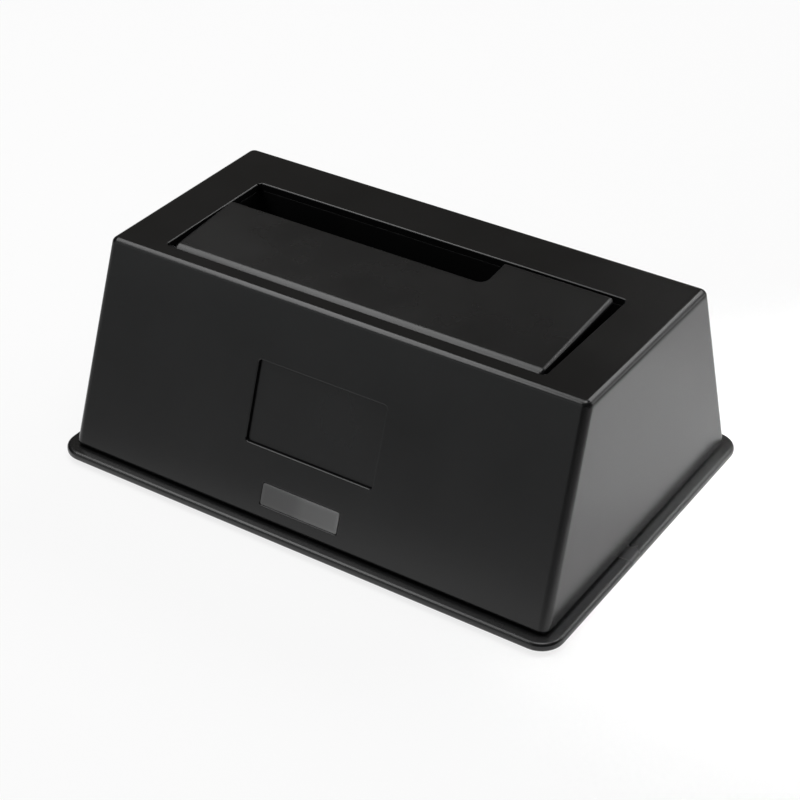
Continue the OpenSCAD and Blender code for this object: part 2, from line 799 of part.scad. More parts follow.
module flap_spring(side) {
    color(steel)
        translate([side * spring_x, hinge_y, hinge_z])
            mirror([side < 0 ? 1 : 0, 0, 0])
                wire(spring_path, spring_wire);
}

module flap_spring_left() {
    flap_spring(-1);
}

module flap_spring_right() {
    flap_spring(1);
}

module badge_plate() {
    color(plastic_dark)
        on_front()
            translate([0, badge_up + badge_h / 2, -badge_sink - badge_t])
                linear_extrude(height = badge_t)
                    round_rect(badge_w - 2 * badge_gap, badge_h - 2 * badge_gap, badge_r - badge_gap);
}

// Window with a flange behind the wall and a light pipe back to the lamps
module status_window() {
    pipe_inset = 2;
    pipe_w = window_w - 2 * pipe_inset;
    pipe_h = 2.4;
    pipe_z = board_top + pipe_h / 2;
    pipe_y0 = front_in(pipe_z);
    color(window_grey)
        union() {
            on_front() {
                translate([0, window_up + window_h / 2, -wall - cut])
                    linear_extrude(height = wall + cut)
                        round_rect(window_w - 2 * window_gap, window_h - 2 * window_gap, window_r);
                translate([0, window_up + window_h / 2, -wall - window_flange])
                    linear_extrude(height = window_flange)
                        round_rect(window_w + 2 * window_flange, window_h, window_r);
            }
            block([-pipe_w / 2, pipe_y0, pipe_z - pipe_h / 2],
                [pipe_w / 2, board_y0 - pipe_gap, pipe_z + pipe_h / 2]);
        }
}

module main_board() {
    board_r = 1.5;
    color(board_green)
        translate([0, (board_y0 + board_y1) / 2, board_z])
            difference() {
                linear_extrude(height = board_t)
                    round_rect(board_w, board_y1 - board_y0, board_r);
                four(board_screw_x, board_screw_y - [1, 1] * (board_y0 + board_y1) / 2)
                    translate([0, 0, -cut])
                        cylinder(d = small_screw_d + 2 * screw_clear, h = board_t + 2 * cut);
            }
}

// One keyed slot of the drive socket
module socket_slot(x, len) {
    key = 1;
    block([x - len / 2, socket_y - socket_slot / 2, socket_top - socket_depth],
        [x + len / 2, socket_y + socket_slot / 2, socket_top + cut]);
    block([x - len / 2, socket_y - socket_slot / 2 - key, socket_top - socket_depth],
        [x - len / 2 + socket_slot / 2, socket_y, socket_top + cut]);
}

module sata_socket() {
    color(chip_black)
        difference() {
            block([socket_x - socket_w / 2, socket_y - socket_d / 2, board_top],
                [socket_x + socket_w / 2, socket_y + socket_d / 2, socket_top]);
            socket_slot(signal_x, signal_len);
            socket_slot(power_x, power_len);
        }
}

// A row of contact strips against the back wall of a slot
module contact_row(x, n) {
    for (i = [0 : n - 1])
        let (cx = x + (i - (n - 1) / 2) * socket_pitch)
        block([cx - contact_w / 2, socket_y + socket_slot / 2 - contact_t, socket_top - socket_depth],
            [cx + contact_w / 2, socket_y + socket_slot / 2, socket_top - contact_down]);
}

module sata_contacts() {
    color(gold) {
        contact_row(signal_x, signal_n);
        contact_row(power_x, power_n);
    }
}

// Mouth of the square port: a wide lower part with sloped shoulders and a narrow upper part
usb_mouth_w = 8.5;
usb_mouth_h = 7.8;
usb_upper_w = 5.6;
usb_upper_h = 2.7;
usb_shoulder = 1.45;
usb_mouth_z = (usb_h - usb_mouth_h - usb_upper_h) / 2;
module usb_mouth() {
    polygon([[-usb_mouth_w / 2, 0], [usb_mouth_w / 2, 0],
        [usb_mouth_w / 2, usb_mouth_h - usb_shoulder], [usb_upper_w / 2, usb_mouth_h],
        [usb_upper_w / 2, usb_mouth_h + usb_upper_h], [-usb_upper_w / 2, usb_mouth_h + usb_upper_h],
        [-usb_upper_w / 2, usb_mouth_h], [-usb_mouth_w / 2, usb_mouth_h - usb_shoulder]]);
}

module usb_shell() {
    color(steel)
        at_port(usb_x, board_top)
            difference() {
                block([-usb_w / 2, 0, 0], [usb_w / 2, usb_len, usb_h]);
                translate([0, usb_depth, usb_mouth_z])
                    rotate([90, 0, 0])
                        linear_extrude(height = usb_depth + cut)
                            usb_mouth();
            }
}

// Tongue sizes shared with the contacts on them
usb_tongue_w = 5.6;
usb_tongue_h = 3.2;
usb_blade_w = 4.4;
usb_blade_h = 1;
usb_tongue_back = 1.2;
usb_tongue_z = usb_mouth_z + 3.3;
usb_blade_z = usb_mouth_z + usb_mouth_h + 1.1;

module usb_tongue() {
    color(port_blue)
        at_port(usb_x, board_top) {
            block([-usb_tongue_w / 2, usb_tongue_back, usb_tongue_z - usb_tongue_h / 2],
                [usb_tongue_w / 2, usb_depth, usb_tongue_z + usb_tongue_h / 2]);
            block([-usb_blade_w / 2, usb_tongue_back, usb_blade_z - usb_blade_h / 2],
                [usb_blade_w / 2, usb_depth, usb_blade_z + usb_blade_h / 2]);
        }
}

module usb_contacts() {
    strip_w = 1;
    strip_t = 0.15;
    strip_x = 1.25;
    fine_w = 0.5;
    fine_pitch = 0.85;
    y0 = usb_tongue_back + strip_w / 2;
    color(gold)
        at_port(usb_x, board_top) {
            for (x = [-strip_x, strip_x], s = [-1, 1])
                translate([x - strip_w / 2, y0, usb_tongue_z + s * usb_tongue_h / 2 - (s < 0 ? strip_t : 0)])
                    cube([strip_w, usb_depth - y0, strip_t]);
            for (i = [-2 : 2])
                translate([i * fine_pitch - fine_w / 2, y0, usb_blade_z - usb_blade_h / 2 - strip_t])
                    cube([fine_w, usb_depth - y0, strip_t]);
        }
}

// Mouth of the flat port
esata_mouth_w = 11.8;
esata_mouth_h = 3.8;
esata_tongue_w = 10.3;
esata_tongue_h = 1.2;
esata_tongue_back = 0.8;

module esata_shell() {
    color(steel)
        at_port(esata_x, board_top)
            difference() {
                block([-esata_w / 2, 0, 0], [esata_w / 2, esata_len, esata_h]);
                block([-esata_mouth_w / 2, -cut, (esata_h - esata_mouth_h) / 2],
                    [esata_mouth_w / 2, esata_depth, (esata_h + esata_mouth_h) / 2]);
            }
}

module esata_tongue() {
    color(chip_black)
        at_port(esata_x, board_top)
            block([-esata_tongue_w / 2, esata_tongue_back, (esata_h - esata_tongue_h) / 2],
                [esata_tongue_w / 2, esata_depth, (esata_h + esata_tongue_h) / 2]);
}

module esata_contacts() {
    strip_w = 0.6;
    strip_t = 0.15;
    y0 = esata_tongue_back + strip_w;
    color(gold)
        at_port(esata_x, board_top)
            for (i = [-3 : 3])
                translate([i * socket_pitch - strip_w / 2, y0, (esata_h + esata_tongue_h) / 2])
                    cube([strip_w, esata_depth - y0, strip_t]);
}

// Groove for the leaf contact at the bottom of the inlet's bore
jack_leaf_w = 1.6;
jack_leaf_t = 0.3;

module dc_jack_body() {
    collar_len = wall + port_proud;
    color(chip_black)
        at_port(jack_x, jack_z)
            difference() {
                union() {
                    rotate([-90, 0, 0])
                        cylinder(d = jack_collar_d, h = collar_len + cut);
                    block([-jack_w / 2, collar_len + board_rear_gap, -jack_h / 2],
                        [jack_w / 2, jack_len, jack_h / 2]);
                }
                translate([0, -cut, 0])
                    rotate([-90, 0, 0])
                        cylinder(d = jack_bore_d, h = jack_depth + cut);
                block([-jack_leaf_w / 2, collar_len, -jack_bore_d / 2 - jack_leaf_t],
                    [jack_leaf_w / 2, jack_depth, 0]);
            }
}

module dc_jack_pin() {
    color(steel)
        at_port(jack_x, jack_z)
            translate([0, jack_pin_back, 0])
                rotate([-90, 0, 0])
                    cylinder(d = jack_pin_d, h = jack_depth - jack_pin_back);
}

module dc_jack_contact() {
    color(steel)
        at_port(jack_x, jack_z)
            block([-jack_leaf_w / 2, wall + port_proud, -jack_bore_d / 2 - jack_leaf_t],
                [jack_leaf_w / 2, jack_depth, -jack_bore_d / 2]);
}

// Button: a cap through the panel and a stem into the switch
switch_face = wall + board_rear_gap + 2 * button_travel;
stem_len = switch_face + button_travel;

module power_button() {
    cap_back = wall + cut;
    color(plastic_black)
        translate([button_x, panel_y, button_z])
            rotate([90, 0, 0]) {
                translate([0, 0, -button_proud])
                    cylinder(d = button_d, h = button_proud + cap_back);
                cylinder(d = stem_d, h = stem_len);
            }
}

module power_switch() {
    color(plastic_dark)
        translate([button_x, panel_y, button_z])
            difference() {
                block([-switch_w / 2, -switch_face - switch_len, -switch_w / 2],
                    [switch_w / 2, -switch_face, switch_w / 2]);
                translate([0, cut - switch_face, 0])
                    rotate([90, 0, 0])
                        cylinder(d = stem_d + 2 * stem_clear,
                            h = stem_len - switch_face + 2 * button_travel + cut);
            }
}

// Places and sizes of the parts on the board
chip_x = socket_x + 4;
chip_y = socket_y - 20;
bridge_size = [9, 9, 1];
flash_size = [5, 4, 1.5];
flash_step = 14;
crystal_size = [10.6, 4.4, 3.4];
crystal_step = 9;
coil_size = [7, 7, 3.6];
coil_step = 12;
regulator_size = [6.5, 3.5, 1.6];
regulator_step = 12;
regulator_pitch = 2.3;
can_d = 6.3;
can_h = 7.7;
can_gap = 1;
lamp_size = [3.2, 1.2, 1.6];
lamp_x = 4;

// A chip lying on the board, with a mark at its first pin
module chip(x, y, size) {
    mark_d = 0.8;
    mark_deep = 0.15;
    translate([x, y, board_top])
        difference() {
            block([-size.x / 2, -size.y / 2, 0], [size.x / 2, size.y / 2, size.z]);
            translate([mark_d - size.x / 2, size.y / 2 - mark_d, size.z - mark_deep])
                cylinder(d = mark_d, h = cut);
        }
}

// A row of leads on each long side of a chip
module leads(x, y, size, n, pitch) {
    lead = [0.4, 0.7, 0.4];
    for (s = [-1, 1], i = [0 : n - 1])
        translate([x + (i - (n - 1) / 2) * pitch, y + s * (size.y + lead.y) / 2, board_top + lead.z / 2])
            cube(lead, center = true);
}

module bridge_chip() {
    color(chip_black)
        chip(chip_x, chip_y, bridge_size);
}

module flash_chip() {
    color(chip_black) {
        chip(chip_x + flash_step, chip_y, flash_size);
        leads(chip_x + flash_step, chip_y, flash_size, 4, socket_pitch);
    }
}

// Crystal can, a low steel case with round ends
module crystal() {
    end_r = crystal_size.y / 2 - 0.1;
    color(steel)
        translate([chip_x, chip_y - crystal_step, board_top])
            linear_extrude(height = crystal_size.z)
                round_rect(crystal_size.x, crystal_size.y, end_r);
}

module power_inductors() {
    edge_r = 1.2;
    dish_d = 4.4;
    dish_deep = 0.4;
    color([0.2, 0.2, 0.21])
        for (s = [-0.5, 0.5])
            translate([jack_x + s * coil_step, socket_y, board_top])
                difference() {
                    linear_extrude(height = coil_size.z)
                        round_rect(coil_size.x, coil_size.y, edge_r);
                    translate([0, 0, coil_size.z - dish_deep])
                        cylinder(d = dish_d, h = dish_deep + cut);
                }
}

// Electrolytic cans beside the inlet, each on its square foot
module capacitors() {
    foot_h = 0.9;
    can_step = can_d + can_gap;
    x = jack_x + (jack_w + can_d) / 2 + can_gap;
    y = board_y1 - can_gap - can_d / 2;
    color(steel)
        for (i = [0, 1])
            translate([x, y - i * can_step, board_top]) {
                block([-can_d / 2, -can_d / 2, 0], [can_d / 2, can_d / 2, foot_h]);
                translate([0, 0, foot_h])
                    cylinder(d = can_d, h = can_h - foot_h);
            }
}

module regulators() {
    color(chip_black)
        for (s = [-0.5, 0.5])
            let (x = jack_x + s * coil_step, y = socket_y - regulator_step) {
                chip(x, y, regulator_size);
                leads(x, y, regulator_size, 3, regulator_pitch);
            }
}

module status_leds() {
    color([0.9, 0.9, 0.86])
        for (s = [-1, 1])
            translate([s * lamp_x - lamp_size.x / 2, board_y0, board_top])
                cube(lamp_size);
}

module housing_screws() {
    color(steel)
        four(boss_x, [-boss_y, boss_y])
            translate([0, 0, case_seat_z])
                screw(case_screw_d, case_screw_len);
}

module board_screws() {
    color(steel)
        four(board_screw_x, board_screw_y)
            translate([0, 0, board_top])
                mirror([0, 0, 1])
                    screw(small_screw_d, board_screw_len - thread_end);
}

module well_screws() {
    color(steel)
        four(ear_x, ear_y)
            translate([0, 0, ear_z])
                screw(small_screw_d, well_screw_len);
}

module rubber_feet() {
    color(rubber_black)
        four(base_w / 2 - foot_inset_x, [foot_inset_y - base_d / 2, base_d / 2 - foot_inset_y])
            cylinder(d = foot_d - 2 * foot_play, h = foot_proud + foot_seat);
}

upper_housing();
base_tray();
drive_well();
bay_flap();
hinge_rod();
flap_spring_left();
flap_spring_right();
badge_plate();
status_window();
main_board();
sata_socket();
sata_contacts();
usb_shell();
usb_tongue();
usb_contacts();
esata_shell();
esata_tongue();
esata_contacts();
dc_jack_body();
dc_jack_pin();
dc_jack_contact();
power_button();
power_switch();
bridge_chip();
flash_chip();
crystal();
power_inductors();
capacitors();
regulators();
status_leds();
housing_screws();
board_screws();
well_screws();
rubber_feet();
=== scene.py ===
import json
import math
import bpy
import bmesh
from mathutils import Matrix, Vector


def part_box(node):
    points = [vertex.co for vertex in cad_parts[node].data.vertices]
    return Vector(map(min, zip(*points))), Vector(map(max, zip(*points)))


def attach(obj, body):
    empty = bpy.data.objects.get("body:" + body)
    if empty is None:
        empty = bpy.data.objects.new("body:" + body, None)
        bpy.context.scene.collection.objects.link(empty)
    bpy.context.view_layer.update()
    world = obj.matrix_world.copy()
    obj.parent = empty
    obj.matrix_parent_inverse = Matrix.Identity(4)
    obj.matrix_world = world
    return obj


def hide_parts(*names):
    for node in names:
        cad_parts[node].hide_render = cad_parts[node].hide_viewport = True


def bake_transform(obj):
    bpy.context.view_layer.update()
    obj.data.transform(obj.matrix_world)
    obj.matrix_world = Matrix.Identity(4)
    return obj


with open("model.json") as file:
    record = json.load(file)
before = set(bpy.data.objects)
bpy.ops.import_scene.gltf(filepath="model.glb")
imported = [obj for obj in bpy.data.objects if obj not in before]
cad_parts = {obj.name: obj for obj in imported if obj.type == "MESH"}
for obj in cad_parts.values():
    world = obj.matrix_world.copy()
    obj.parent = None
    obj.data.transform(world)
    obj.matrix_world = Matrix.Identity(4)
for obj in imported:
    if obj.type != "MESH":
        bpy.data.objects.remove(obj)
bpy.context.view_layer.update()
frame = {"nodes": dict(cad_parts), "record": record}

scene = bpy.context.scene
MM = 0.001

# Places that follow the solids: lengths in millimetres, HINGE in metres, the flap's tilt in degrees and the front
# wall's lean in radians. Edges of the flap within NOSE_BORE of the hinge belong to its bore.
FLAP_TILT = 4.6
FRONT_LEAN = math.atan2(17.6, 50.3)
FRONT_FOOT_Y, FRONT_FOOT_Z = -44.9, 4.2
HINGE = Vector(frame["record"]["behaviour"]["joints"][0]["pos_m"])
FLAP_UP = Vector((0.0, -math.sin(math.radians(FLAP_TILT)), math.cos(math.radians(FLAP_TILT))))
FLAP_TOP = 2.6
OPENING_X, OPENING_Y0, OPENING_Y1 = 53, -24, 16
NOSE_BORE = 1.5
WINDOW_UP, WINDOW_HALF_X, WINDOW_HALF_UP = 5.9, 10.9, 2.7
SPRING_X = 33.5
# Points closer than this count as on one plane
SNAP = 0.02 * MM


# Materials

def start(name):
    mat = bpy.data.materials.new(name)
    mat.use_nodes = True
    tree = mat.node_tree
    shader = tree.nodes["Principled BSDF"]
    coord = tree.nodes.new("ShaderNodeTexCoord")
    return mat, tree, shader, coord.outputs["Object"]


def noise(tree, vector, scale, detail=2.0, rough=0.5):
    n = tree.nodes.new("ShaderNodeTexNoise")
    n.inputs["Scale"].default_value = scale
    n.inputs["Detail"].default_value = detail
    n.inputs["Roughness"].default_value = rough
    tree.links.new(vector, n.inputs["Vector"])
    return n.outputs["Fac"]


def ramp(tree, fac, stops):
    r = tree.nodes.new("ShaderNodeValToRGB")
    e = r.color_ramp.elements
    while len(e) < len(stops):
        e.new(0.5)
    for i, (pos, col) in enumerate(stops):
        e[i].position = pos
        e[i].color = (*col, 1.0) if hasattr(col, "__len__") else (col, col, col, 1.0)
    tree.links.new(fac, r.inputs["Fac"])
    return r.outputs["Color"]


def map_range(tree, fac, low, high, a=0.0, b=1.0):
    m = tree.nodes.new("ShaderNodeMapRange")
    m.inputs["From Min"].default_value = a
    m.inputs["From Max"].default_value = b
    m.inputs["To Min"].default_value = low
    m.inputs["To Max"].default_value = high
    tree.links.new(fac, m.inputs["Value"])
    return m.outputs["Result"]


def bump(tree, shader, height, strength, distance):
    b = tree.nodes.new("ShaderNodeBump")
    b.inputs["Strength"].default_value = strength
    b.inputs["Distance"].default_value = distance
    tree.links.new(height, b.inputs["Height"])
    tree.links.new(b.outputs["Normal"], shader.inputs["Normal"])


def calc(tree, kind, a, b=None):
    n = tree.nodes.new("ShaderNodeMath")
    n.operation = kind
    for i, v in enumerate((a, b)):
        if hasattr(v, "links"):
            tree.links.new(v, n.inputs[i])
        elif v is not None:
            n.inputs[i].default_value = v
    return n.outputs["Value"]


def along(tree, vector, way):
    n = tree.nodes.new("ShaderNodeVectorMath")
    n.operation = "DOT_PRODUCT"
    n.inputs[1].default_value = way
    tree.links.new(vector, n.inputs[0])
    return n.outputs["Value"]


def shade(colour, k):
    return tuple(min(1.0, c * k) for c in colour)


# Moulded plastic: spark-eroded grain, slow changes of gloss and a little uneven tone
def moulded(name, colour, rough, spec=0.5, grain=0.00045, depth=0.00003, strength=0.25, tone=0.08):
    mat, tree, shader, at = start(name)
    fine = noise(tree, at, 1.0 / grain, 3.0, 0.6)
    slow = noise(tree, at, 45.0, 3.0, 0.55)
    col = ramp(tree, slow, [(0.3, shade(colour, 1 - tone)), (0.7, shade(colour, 1 + tone))])
    tree.links.new(col, shader.inputs["Base Color"])
    tree.links.new(map_range(tree, slow, rough - 0.025, rough + 0.025, 0.3, 0.7), shader.inputs["Roughness"])
    shader.inputs["Specular IOR Level"].default_value = spec
    bump(tree, shader, fine, strength, depth)
    return mat


# Drawn, plated or turned metal, with fine streaks along one axis
def metal(name, colour, rough, streak=(1.0, 30.0, 30.0), strength=0.15):
    mat, tree, shader, at = start(name)
    mapping = tree.nodes.new("ShaderNodeMapping")
    mapping.inputs["Scale"].default_value = streak
    tree.links.new(at, mapping.inputs["Vector"])
    lines = noise(tree, mapping.outputs["Vector"], 120.0, 4.0, 0.6)
    spots = noise(tree, at, 300.0, 2.0)
    tree.links.new(ramp(tree, spots, [(0.3, shade(colour, 0.85)), (0.7, shade(colour, 1.05))]),
                   shader.inputs["Base Color"])
    tree.links.new(map_range(tree, lines, rough - 0.08, rough + 0.1, 0.3, 0.7), shader.inputs["Roughness"])
    shader.inputs["Metallic"].default_value = 1.0
    bump(tree, shader, lines, strength, 0.00002)
    return mat


BLACK = (0.0068, 0.0069, 0.0071)
M = {
    "housing_plastic": moulded("housing_plastic", BLACK, 0.23),
    "base_plastic": moulded("base_plastic", BLACK, 0.26),
    "flap_plastic": moulded("flap_plastic", BLACK, 0.27),
    "well_plastic": moulded("well_plastic", (0.0045, 0.0045, 0.0046), 0.55, spec=0.2),
    "badge_plastic": moulded("badge_plastic", (0.0072, 0.0072, 0.0074), 0.26, grain=0.0003),
    "button_plastic": moulded("button_plastic", (0.012, 0.012, 0.0125), 0.38),
    "socket_plastic": moulded("socket_plastic", (0.008, 0.008, 0.0085), 0.42),
    "chip_resin": moulded("chip_resin", (0.014, 0.014, 0.015), 0.55, grain=0.0002),
    "tongue_blue": moulded("tongue_blue", (0.02, 0.075, 0.36), 0.35, strength=0.1),
    "lamp_resin": moulded("lamp_resin", (0.6, 0.6, 0.55), 0.2, strength=0.05, tone=0.04),
    "foot_rubber": moulded("foot_rubber", (0.012, 0.012, 0.012), 0.75, spec=0.3, grain=0.0008, strength=0.4),
    "rod_steel": metal("rod_steel", (0.56, 0.57, 0.59), 0.28),
    "spring_steel": metal("spring_steel", (0.5, 0.5, 0.52), 0.3),
    "contact_gold": metal("contact_gold", (0.83, 0.6, 0.22), 0.25),
    "port_steel": metal("port_steel", (0.62, 0.63, 0.65), 0.3, streak=(30.0, 1.0, 30.0)),
    "pin_nickel": metal("pin_nickel", (0.66, 0.65, 0.62), 0.18),
    "can_aluminium": metal("can_aluminium", (0.72, 0.73, 0.75), 0.3, streak=(30.0, 30.0, 1.0)),
    "screw_steel": metal("screw_steel", (0.5, 0.5, 0.52), 0.35, streak=(30.0, 30.0, 5.0)),
}


# Smoked window: a frosted grey face, its right half a little lighter, and a painted highlight that makes its rim
# paler where the edge is lit
def window_material():
    mat, tree, shader, at = start("window_plastic")
    up = along(tree, at, (0.0, math.sin(FRONT_LEAN), math.cos(FRONT_LEAN)))
    middle = (FRONT_FOOT_Y * math.sin(FRONT_LEAN) + FRONT_FOOT_Z * math.cos(FRONT_LEAN) + WINDOW_UP) * MM
    split = tree.nodes.new("ShaderNodeSeparateXYZ")
    tree.links.new(at, split.inputs["Vector"])
    from_end = calc(tree, "SUBTRACT", WINDOW_HALF_X * MM, calc(tree, "ABSOLUTE", split.outputs["X"]))
    from_middle = calc(tree, "ABSOLUTE", calc(tree, "SUBTRACT", up, middle))
    from_side = calc(tree, "SUBTRACT", WINDOW_HALF_UP * MM, from_middle)
    inside = calc(tree, "MINIMUM", from_end, from_side)
    # painted highlight: within about a millimetre of the window's edge its colour is made up to 1.22 times brighter
    painted_rim_highlight = map_range(tree, inside, 1.22, 1.0, 0.2 * MM, 1.1 * MM)
    across = map_range(tree, split.outputs["X"], 0.0, 1.0, -0.011, 0.011)
    col = ramp(tree, across, [(0.0, 0.09), (0.42, 0.103), (0.56, 0.142), (1.0, 0.166)])
    lit = tree.nodes.new("ShaderNodeVectorMath")
    lit.operation = "SCALE"
    tree.links.new(col, lit.inputs[0])
    tree.links.new(painted_rim_highlight, lit.inputs["Scale"])
    tree.links.new(lit.outputs["Vector"], shader.inputs["Base Color"])
    fine = noise(tree, at, 3000.0, 2.0)
    tree.links.new(map_range(tree, fine, 0.3, 0.42, 0.3, 0.7), shader.inputs["Roughness"])
    shader.inputs["Subsurface Weight"].default_value = 0.15
    shader.inputs["Subsurface Radius"].default_value = (0.0015, 0.0015, 0.0015)
    bump(tree, shader, fine, 0.1, 0.00002)
    return mat


# Solder mask over copper: dull green with faint tracks
def board_material():
    mat, tree, shader, at = start("board_laminate")
    mapping = tree.nodes.new("ShaderNodeMapping")
    mapping.inputs["Rotation"].default_value = (0.0, 0.0, math.radians(45))
    tree.links.new(at, mapping.inputs["Vector"])
    brick = tree.nodes.new("ShaderNodeTexBrick")
    brick.inputs["Scale"].default_value = 160.0
    brick.inputs["Mortar Size"].default_value = 0.06
    brick.inputs["Color1"].default_value = (0.004, 0.055, 0.022, 1)
    brick.inputs["Color2"].default_value = (0.005, 0.07, 0.028, 1)
    brick.inputs["Mortar"].default_value = (0.01, 0.11, 0.045, 1)
    tree.links.new(mapping.outputs["Vector"], brick.inputs["Vector"])
    tree.links.new(brick.outputs["Color"], shader.inputs["Base Color"])
    slow = noise(tree, at, 90.0, 3.0)
    tree.links.new(map_range(tree, slow, 0.25, 0.4, 0.3, 0.7), shader.inputs["Roughness"])
    bump(tree, shader, brick.outputs["Fac"], 0.2, 0.00004)
    return mat


M["window_plastic"] = window_material()
M["board_laminate"] = board_material()

SLOT = {s["node"]: s["material_slot"] for s in frame["record"]["subparts"]}
BODY = {n: b for b, ns in frame["record"]["behaviour"]["bodies"].items() for n in ns}


# Pieces made from a CAD node's own form, with its sharp edges rounded

def add(name, mesh, body, slot, node):
    obj = bpy.data.objects.new(name, mesh)
    scene.collection.objects.link(obj)
    mesh.polygons.foreach_set("use_smooth", [True] * len(mesh.polygons))
    mesh.set_sharp_from_angle(angle=math.radians(SMOOTH_BELOW))
    mesh.materials.clear()
    mesh.materials.append(M[slot])
    w = obj.modifiers.new("weighted", "WEIGHTED_NORMAL")
    w.keep_sharp = True
    w.weight = 80
    w.use_face_influence = True
    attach(obj, body)
    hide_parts(node)


# Width in millimetres that each sharp edge of a node is rounded by: the edges of the deck's opening and of the
# flap's plate are rounder than the rest
def edge_width(node, width):
    def opening(v):
        return v.z > deck_z - SNAP and abs(v.x) < OPENING_X * MM and OPENING_Y0 * MM < v.y < OPENING_Y1 * MM

    def plate_end(v):
        return abs(v.x) > flap_end - SNAP and (v - HINGE).yz.length > NOSE_BORE * MM

    def plate_top(v):
        return (v - HINGE).dot(FLAP_UP) > FLAP_TOP * MM - SNAP

    deck_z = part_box("upper_housing")[1][2]
    flap_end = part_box("bay_flap")[1][0]
    soft = {"upper_housing": [(opening, OPENING_EDGE)],
            "bay_flap": [(plate_end, SOFT_EDGE), (plate_top, SOFT_EDGE)]}.get(node, [])
    return lambda e: next((wide for on, wide in soft if all(on(v.co) for v in e.verts)), width)


# A node's own form: flat faces joined again, sharp edges rounded. A node in HALVED is cut along its middle first, so
# that its flat faces round a hole stay whole.
def dressed(node, width):
    bm = bmesh.new()
    bm.from_mesh(frame["nodes"][node].data)
    bmesh.ops.remove_doubles(bm, verts=bm.verts, dist=1e-6)
    kept = set()
    if node in HALVED:
        cut = bmesh.ops.bisect_plane(bm, geom=bm.verts[:] + bm.edges[:] + bm.faces[:], dist=1e-7,
                                     plane_co=(0.0, 0.0, 0.0), plane_no=(1.0, 0.0, 0.0))
        kept = {e for e in cut["geom_cut"] if isinstance(e, bmesh.types.BMEdge)}
    bmesh.ops.dissolve_limit(bm, angle_limit=math.radians(FLAT_BELOW), edges=[e for e in bm.edges if e not in kept],
                             verts=[v for v in bm.verts if kept.isdisjoint(v.link_edges)])
    if kept:
        spare = [v for v in bm.verts if abs(v.co.x) < SNAP and len(v.link_edges) == 2]
        bmesh.ops.dissolve_verts(bm, verts=spare)
    share = bm.edges.layers.float.new("bevel_weight_edge")
    wide = edge_width(node, width)
    for e in bm.edges:
        if len(e.link_faces) == 2 and e.calc_face_angle(0.0) > math.radians(SHARP_ABOVE):
            e[share] = wide(e) / SOFT_EDGE
    mesh = bpy.data.meshes.new(node + "_solid")
    bm.to_mesh(mesh)
    bm.free()
    obj = bpy.data.objects.new(node + "_solid", mesh)
    scene.collection.objects.link(obj)
    mod = obj.modifiers.new("round", "BEVEL")
    mod.limit_method = "WEIGHT"
    mod.width = SOFT_EDGE * MM
    mod.offset_type = "OFFSET"
    mod.segments = EDGE_STEPS
    mod.use_clamp_overlap = False
    mod.miter_outer = "MITER_ARC"
    mod.face_strength_mode = "FSTR_ALL"
    form = bpy.data.meshes.new_from_object(obj.evaluated_get(bpy.context.evaluated_depsgraph_get()))
    form.name = node + "_form"
    bpy.data.objects.remove(obj)
    bpy.data.meshes.remove(mesh)
    add(node + "_form", form, BODY[node], SLOT[node], node)


# Widths of rounded edges in millimetres, and the angles in degrees that tell flat, smooth and sharp edges apart
SOFT_EDGE = 0.9
OPENING_EDGE = 0.36
EDGE_STEPS = 4
FLAT_BELOW, SMOOTH_BELOW, SHARP_ABOVE = 0.6, 32.0, 40.0
HALVED = ("upper_housing",)
WIDTH = {
    "upper_housing": 0.28, "base_tray": 0.25, "drive_well": 0.15, "bay_flap": 0.3, "badge_plate": 0.12,
    "status_window": 0.15, "main_board": 0.1, "sata_socket": 0.2, "usb_shell": 0.2, "usb_tongue": 0.15,
    "esata_shell": 0.2, "esata_tongue": 0.15, "dc_jack_body": 0.25, "dc_jack_pin": 0.3, "power_button": 0.5,
    "power_switch": 0.2, "bridge_chip": 0.08, "flash_chip": 0.06, "crystal": 0.4, "power_inductors": 0.25,
    "capacitors": 0.4, "regulators": 0.06, "status_leds": 0.15, "rubber_feet": 0.5, "hinge_rod": 0.2,
    "sata_contacts": 0.05, "usb_contacts": 0.04, "esata_contacts": 0.04, "dc_jack_contact": 0.05,
    "housing_screws": 0.12, "board_screws": 0.08, "well_screws": 0.08,
}
for node, width in WIDTH.items():
    dressed(node, width)


# Torsion springs: one length of round wire each, coiled round the hinge rod between its two legs

# Sizes in millimetres: the fixed leg ends FIXED_REACH in front of the rod's axis, the moving leg rises by MOVING_RISE
# over its length to the flap's underside, and the motion blends over BLEND_HALF to each side of the coil's middle
TURNS, PITCH, COIL_R, WIRE_R, PER_TURN = 6, 1.0, 1.3, 0.25, 28
FIXED_TURN, FIXED_REACH = -100.0, 2.5
MOVING_LEG, MOVING_RISE = 8.0, 1.25
WIRE_SHARP_ABOVE = 50


def coil_path():
    low = -TURNS * PITCH / 2
    first = math.radians(FIXED_TURN)
    last = math.radians(-90.0 + FLAP_TILT + 360.0 * TURNS) + math.asin(MOVING_RISE / MOVING_LEG)
    at = lambda a, x: Vector((x, COIL_R * math.cos(a), COIL_R * math.sin(a)))
    way = lambda a: Vector((0.0, -math.sin(a), math.cos(a)))
    reach = (FIXED_REACH + COIL_R * math.cos(first)) / -math.sin(first)
    n = TURNS * PER_TURN
    pts = [at(first, low) - way(first) * reach * k for k in (1.0, 0.6, 0.25)]
    pts += [at(first + (last - first) * i / n, low + TURNS * PITCH * i / n) for i in range(n + 1)]
    return pts + [at(last, -low) + way(last) * MOVING_LEG * k for k in (0.1, 0.4, 0.7, 1.0)]


